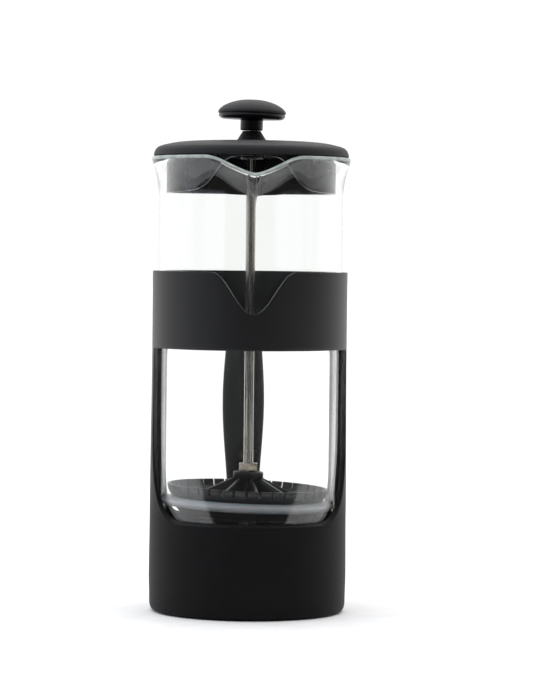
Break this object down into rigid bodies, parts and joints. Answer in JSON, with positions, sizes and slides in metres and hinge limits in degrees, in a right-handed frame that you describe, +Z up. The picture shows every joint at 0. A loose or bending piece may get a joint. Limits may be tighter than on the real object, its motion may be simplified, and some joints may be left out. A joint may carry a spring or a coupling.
{
  "type": "french press",
  "caption": "Cylindrical glass coffee press in a dark plastic holder with a rear handle, a lid over a V-shaped spout, and a rod with a knob that pushes a filter down.",
  "frame": {"origin": "on the surface that the press stands on, at the beaker's axis, on the foot pad's lower face", "axes": "+Z up along the plunger rod, -Y to the front where the spout is, +Y to the handle"},
  "size_m": [0.1034, 0.1509, 0.2659],
  "materials": {
    "holder_plastic": "satin moulded polypropylene, near black",
    "lid_plastic": "fine-grained moulded polypropylene, dark grey",
    "inner_plastic": "smooth moulded polypropylene, black",
    "filter_plastic": "moulded nylon, black",
    "glass": "clear blown borosilicate glass",
    "silicone": "translucent grey-white silicone",
    "foot_rubber": "matt black rubber",
    "stainless": "drawn stainless steel",
    "mesh_steel": "woven stainless wire cloth",
    "brass": "turned brass"
  },
  "bodies": {
    "holder": {"holder_frame": "holder_plastic", "base_plate": "holder_plastic", "foot_pad": "foot_rubber", "beaker_pad": "silicone", "handle_grip": "holder_plastic", "handle_back_cover": "holder_plastic", "handle_screw_upper": "stainless", "handle_screw_lower": "stainless"},
    "beaker": {"glass_beaker": "glass"},
    "lid_centre": {"lid_bush": "inner_plastic"},
    "lid": {"lid_cover": "lid_plastic", "lid_skirt": "inner_plastic"},
    "plunger": {"knob_cap": "lid_plastic", "knob_stem": "inner_plastic", "knob_insert": "brass", "plunger_rod": "stainless", "rod_lock_nut": "stainless", "filter_basket": "filter_plastic", "filter_mesh": "mesh_steel", "silicone_seal": "silicone", "lower_plate": "filter_plastic", "rod_end_nut": "stainless"}
  },
  "joints": [
    {"name": "beaker_lift", "type": "slide", "parent": "holder", "child": "beaker", "axis": [0, 0, 1], "range_m": [0, 0.15]},
    {"name": "lid_lift", "type": "slide", "parent": "beaker", "child": "lid_centre", "axis": [0, 0, 1], "range_m": [0, 0.195]},
    {"name": "lid_turn", "type": "hinge", "parent": "lid_centre", "child": "lid", "pos_m": [0, 0, 0.24], "axis": [0, 0, 1], "continuous": true},
    {"name": "plunger_slide", "type": "slide", "parent": "lid_centre", "child": "plunger", "axis": [0, 0, 1], "range_m": [0, 0.148]}
  ]
}
